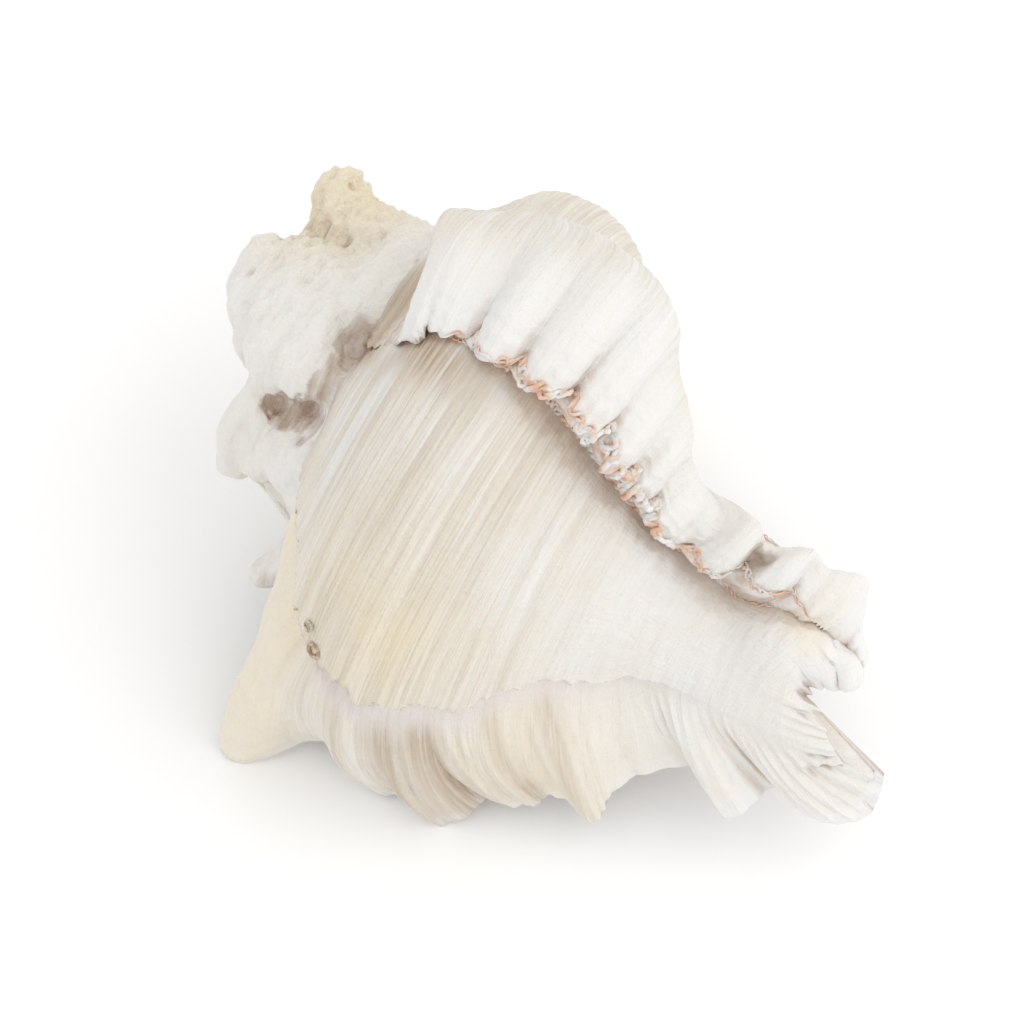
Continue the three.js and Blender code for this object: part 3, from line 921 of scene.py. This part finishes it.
def blotched(name, tones, blotches, grain, relief, roughness):
    """A material of two tones in soft blotches, with a fine grain."""
    material = bpy.data.materials.new(name)
    material.use_nodes = True
    n = Nodes(material.node_tree)
    place = n.add("ShaderNodeTexCoord").outputs["Object"]
    scale, low, high = blotches
    colour = n.blend(n.between(n.noise(place, scale, 3, 0.6), low, high), rgba(tones[0]), rgba(tones[1]))
    bump = n.add("ShaderNodeBump", Height=n.noise(place, *grain), Distance=relief)
    shader = n.add("ShaderNodeBsdfPrincipled", Normal=bump.outputs[0], Roughness=roughness)
    n.put(shader.inputs["Base Color"], colour)
    n.add("ShaderNodeOutputMaterial", Surface=shader.outputs[0])
    return material, shader


def ring_tree():
    """A small rough ring on each point, lying on the surface."""
    tree = geometry_tree(
        "ring scar", {"Ring Radius": 0.0011, "Wall": 0.0003, "Roughness": 0.0005, "Seed": 1.0})
    n = Nodes(tree)
    entry = n.add("NodeGroupInput").outputs
    circle, profile = (
        n.add("GeometryNodeCurvePrimitiveCircle", Resolution=count, Radius=entry[radius]).outputs[0]
        for count, radius in ((40, "Ring Radius"), (10, "Wall")))
    ring = n.add("GeometryNodeCurveToMesh", Curve=circle, Profile_Curve=profile).outputs[0]
    turned = n.add("FunctionNodeAlignRotationToVector", {"axis": "Z"}, Vector=n.named("outward")).outputs[0]
    rings = n.add("GeometryNodeInstanceOnPoints", Points=entry["Geometry"], Instance=ring,
                  Rotation=turned, Scale=n.named("strength", "FLOAT"))
    real = n.add("GeometryNodeRealizeInstances", Geometry=rings.outputs[0]).outputs[0]
    noise = n.add("ShaderNodeTexNoise", {"noise_dimensions": "4D"}, W=entry["Seed"], Scale=900.0, Detail=2.0)
    centred = n.vector_math("SUBTRACT", noise.outputs["Color"], (0.5, 0.5, 0.5))
    shift = n.scaled(centred, entry["Roughness"])
    rough = n.add("GeometryNodeSetPosition", Geometry=real, Offset=shift).outputs[0]
    finish_tree(n, entry, rough)
    return tree


class MUREX_OT_ring_scars(bpy.types.Operator):
    """Small ring-shaped scars of things that once grew on the shell"""
    bl_idname = "murex.ring_scars"
    bl_label = "Ring scars"

    def execute(self, context):
        scene = context.scene
        before, beside = np.array([[-1.0], [0], [1]]), np.array([-0.003, 0, 0.003])
        patch = [skin_of(growth + before + 0 * beside, station + 0 * before + beside, np.zeros((3, 3)), 0.0)
                 for growth, station, _ in SCARS]
        points = np.array([skin[1, 1] + 0.1 * facing[1, 1] for skin, facing in patch])
        outward = np.array([facing[1, 1] for _, facing in patch])
        mesh = bpy.data.meshes.new("ring_scars")
        mesh.from_pydata((points / 1000).tolist(), [], [])
        store(mesh, "outward", outward, "FLOAT_VECTOR")
        store(mesh, "strength", [size for _, _, size in SCARS])
        piece = link("ring_scars", mesh)
        colours = scene.murex_colours  # grey-brown limy crust
        material, _ = blotched("ring scar", (colours.beige, colours.hollow_shade_and_crust), (1100.0, 0.4, 0.6),
                               (3000.0, 2, 0.5), 0.0002, 0.75)
        grow(piece, ring_tree(), material)
        smooth_shaded(piece.data, FINE_CREASE)
        place_piece(piece, material)
        return {"FINISHED"}


class MUREX_OT_finish_surface(bpy.types.Operator):
    """Real stains, bleaching, painted shade in recesses, and the shell's material"""
    bl_idname = "murex.finish_surface"
    bl_label = "Surface finish"

    def execute(self, context):
        scene = context.scene
        material = shell_material(scene.murex_colours, scene.murex_sizes)
        pieces = [bpy.data.objects[name] for name in CREASE_ANGLES]
        # how open each vertex is sets the painted shade in the hollows
        shares = openness([piece.data for piece in pieces])
        for piece, share in zip(pieces, shares):
            tint(piece.data, share, piece.name == "last_turn")
            smooth_shaded(piece.data, CREASE_ANGLES[piece.name])
            place_piece(piece, material)
        return {"FINISHED"}


def read(mesh, name):
    values = np.zeros(len(mesh.vertices), np.float32)
    mesh.attributes[name].data.foreach_get("value", values)
    return values


def tint(mesh, share, last_turn):
    """Stores how strongly each real stain and each painted shade shows at each vertex."""
    g, s = read(mesh, "growth"), read(mesh, "station")
    size = size_at(g, s)
    if last_turn:
        coil = np.stack([s * STATION_MM * size, g * 0.8 * size, 0 * g], -1)
    else:  # the older turns are fused, so their lines simply follow the coiling axis
        coil = coordinates(mesh) * 1000 * (1, 0.4, 0.4)
    store(mesh, "coil", coil, "FLOAT_VECTOR")
    # how shut in each vertex is; this drives the painted shade in hollows
    closed = smooth(1 - share, 0.2, 0.85)
    # holds the real stains and the painted shade alike
    stains = dict.fromkeys(STAIN_AND_SHADE_MASKS, 0 * g)
    if last_turn:
        inner = smooth(read(mesh, "off_skin"), 0.0012, 0.003)
        angle = crown_angle(g, s)
        crest = plateau(angle, -30, -8, 1, 4) * smooth(s, 0.1, 0.15)
        past = g - step_line(s)
        lip = smooth(past, 0, 2)
        shoulder = lip * fade(s, 0.2, 0.27)
        stains["streaky"] = (1 - 0.7 * smooth(s, 0.45, 0.75)) * (1 - 0.8 * crest) * (1 - 0.9 * shoulder)
        stains["bleached"] = (0.8 * crest + 0.55 * smooth(s, 0.5, 0.8) * (1 - crest)
                              + 0.8 * smooth(g, 131, 137) + bell(g, 4, 26) * smooth(s, 0.93, 0.97))
        stains["yellowed"] = (0.6 * bell(g, 78, 20) * bell(s, 0.34, 0.13) + 0.5 * shoulder
                              + 0.5 * bell(g, 4, 12) * bell(s, 0.925, 0.03)
                              + 0.35 * lip * bell(s, 0.6, 0.12))
        bands = sum(depth * bell(s, at, width) for at, width, depth in LIP_BANDS)
        # Painted shade drawn in brown: the groove below the growth step, the strip under the crest's
        # overhanging front edge, and the gutter beside the spire
        groove = plateau(past, -1.5, 0.5, 3, 9) * fade(s, 0.28, 0.4) * smooth(s, 0.03, 0.07)
        under = bell(angle, 9, 6) * bell(s, 0.23, 0.09)
        gutter = plateau(angle, -34, -16, 5, 14) * fade(s, 0.1, 0.14) * smooth(s, 0.005, 0.03)
        # the lip's bands are a real stain; groove, under and gutter are painted shade
        bands_and_shades = [lip * bands * smooth(g, 94, 104), groove, 0.9 * under, 0.75 * gutter]
        stains["brown_bands_and_shade"] = np.max(bands_and_shades, axis=0)
        # painted shade under the growth step
        stains["lilac_shade"] = 0.55 * lip * fade(past, 5, 14) * smooth(s, 0.24, 0.3) * fade(s, 0.6, 0.8)
        stains["blushed"] = 0.6 * bell(angle, 1, 2.5) * smooth(s, 0.25, 0.45)
        stains["blushed"] = stains["blushed"] * (1 - 0.6 * smooth(s, 0.7, 0.8))
        stains["inner"] = 0.9 * inner
        stains["grainy"] = 0.15 + 0 * g
        closed = closed * (1 - inner)
    else:
        cone, pitted = read(mesh, "cone"), read(mesh, "pitted")
        stains["streaky"] = 0.2 + 0 * g
        stains["bleached"] = 0.6 * (1 - cone)
        stains["yellowed"] = 0.75 * cone
        # painted shade in the pits and in the recesses beside the spire's spines
        stains["brown_bands_and_shade"] = pitted + 0.62 * in_recess(mesh) * smooth(closed, 0.03, 0.25)
        stains["grainy"] = 0.3 + 0.7 * cone
    # painted shade: darkening where short rays meet the shell
    stains["hollow_shade_and_crust"] = (0.6 if last_turn else 0.8) * closed
    for name, strength in stains.items():
        store(mesh, name, np.clip(strength, 0, 1))


class MUREX_OT_stage(bpy.types.Operator):
    """Plain floor, soft studio light and the camera"""
    bl_idname = "murex.stage"
    bl_label = "Stage"

    def execute(self, context):
        scene = context.scene
        scene.view_settings.view_transform = "Standard"
        scene.view_settings.look = "None"
        floor_mesh = bpy.data.meshes.new("floor")
        corners = [(x * FLOOR_HALF, y * FLOOR_HALF, 0) for x, y in ((-1, -1), (1, -1), (1, 1), (-1, 1))]
        floor_mesh.from_pydata(corners, [], [(0, 1, 2, 3)])
        floor = link("floor", floor_mesh)
        paint = bpy.data.materials.new("floor paint")
        paint.use_nodes = True
        shader = paint.node_tree.nodes["Principled BSDF"]
        shader.inputs["Base Color"].default_value = (0.99, 0.99, 0.99, 1)
        shader.inputs["Roughness"].default_value = 0.9
        shader.inputs["Specular IOR Level"].default_value = 0.1
        floor_mesh.materials.append(paint)

        world = bpy.data.worlds.new("studio")
        scene.world = world
        world.use_nodes = True
        background = world.node_tree.nodes["Background"]
        background.inputs["Color"].default_value = (1, 1, 1, 1)
        background.inputs["Strength"].default_value = WORLD_LIGHT

        right, up, back = camera_axes()
        points = coordinates(SHELL.data).astype(float)
        across, height, depth = (points @ np.array(axis) for axis in (right, up, back))
        middle = right * (across.min() + FRAME_MIDDLE[0]) + up * (height.max() - FRAME_MIDDLE[1])
        middle = middle + back * depth.mean()
        camera = bpy.data.objects.new("camera", bpy.data.cameras.new("camera"))
        scene.collection.objects.link(camera)
        camera.data.sensor_width, camera.data.lens, camera.data.clip_end = SENSOR, LENS, 10
        eye = middle + back * (FRAME_WIDTH * LENS / SENSOR)
        camera.matrix_world = Matrix.Translation(eye) @ Matrix((right, up, back)).transposed().to_4x4()
        scene.camera = camera

        light = bpy.data.objects.new("key", bpy.data.lights.new("key", "AREA"))
        scene.collection.objects.link(light)
        light.data.size, light.data.energy = KEY_SIZE, KEY_LIGHT
        direction = (right * 0.7 + up * 0.3 + back * 1.0).normalized()
        turned = direction.to_track_quat("Z", "Y").to_matrix().to_4x4()
        light.matrix_world = Matrix.Translation(direction * KEY_AWAY) @ turned
        return {"FINISHED"}


def camera_axes():
    a, e, r = (math.radians(angle) for angle in (CAMERA_ROUND, CAMERA_UP, CAMERA_ROLL))
    back = Vector((math.sin(a) * math.cos(e), -math.cos(a) * math.cos(e), math.sin(e)))
    right = Vector((math.cos(a), math.sin(a), 0))
    up = back.cross(right)
    return right * math.cos(r) + up * math.sin(r), up * math.cos(r) - right * math.sin(r), back


class MUREX_PT_panel(bpy.types.Panel):
    bl_label = "Murex shell"
    bl_idname = "MUREX_PT_panel"
    bl_space_type = "VIEW_3D"
    bl_region_type = "UI"
    bl_category = "Murex"

    def draw(self, context):
        layout = self.layout
        for group in (context.scene.murex_sizes, context.scene.murex_colours):
            box = layout.box()
            for name in group.__annotations__:
                box.prop(group, name)
        for operator in OPERATORS:
            layout.operator(operator.bl_idname)


OPERATORS = [
    MUREX_OT_last_turn, MUREX_OT_spire, MUREX_OT_finish_surface, MUREX_OT_frills,
    MUREX_OT_ring_scars, MUREX_OT_stage,
]
CLASSES = [MurexSizes, MurexColours, *OPERATORS, MUREX_PT_panel]


def register():
    for kind in CLASSES:
        bpy.utils.register_class(kind)
    bpy.types.Scene.murex_sizes = bpy.props.PointerProperty(type=MurexSizes)
    bpy.types.Scene.murex_colours = bpy.props.PointerProperty(type=MurexColours)


def unregister():
    del bpy.types.Scene.murex_colours
    del bpy.types.Scene.murex_sizes
    for kind in reversed(CLASSES):
        bpy.utils.unregister_class(kind)


def main():
    register()
    bpy.ops.murex.last_turn()
    bpy.ops.murex.spire()
    bpy.ops.murex.finish_surface()
    bpy.ops.murex.frills()
    bpy.ops.murex.ring_scars()
    bpy.ops.murex.stage()


if __name__ == "__main__":
    main()
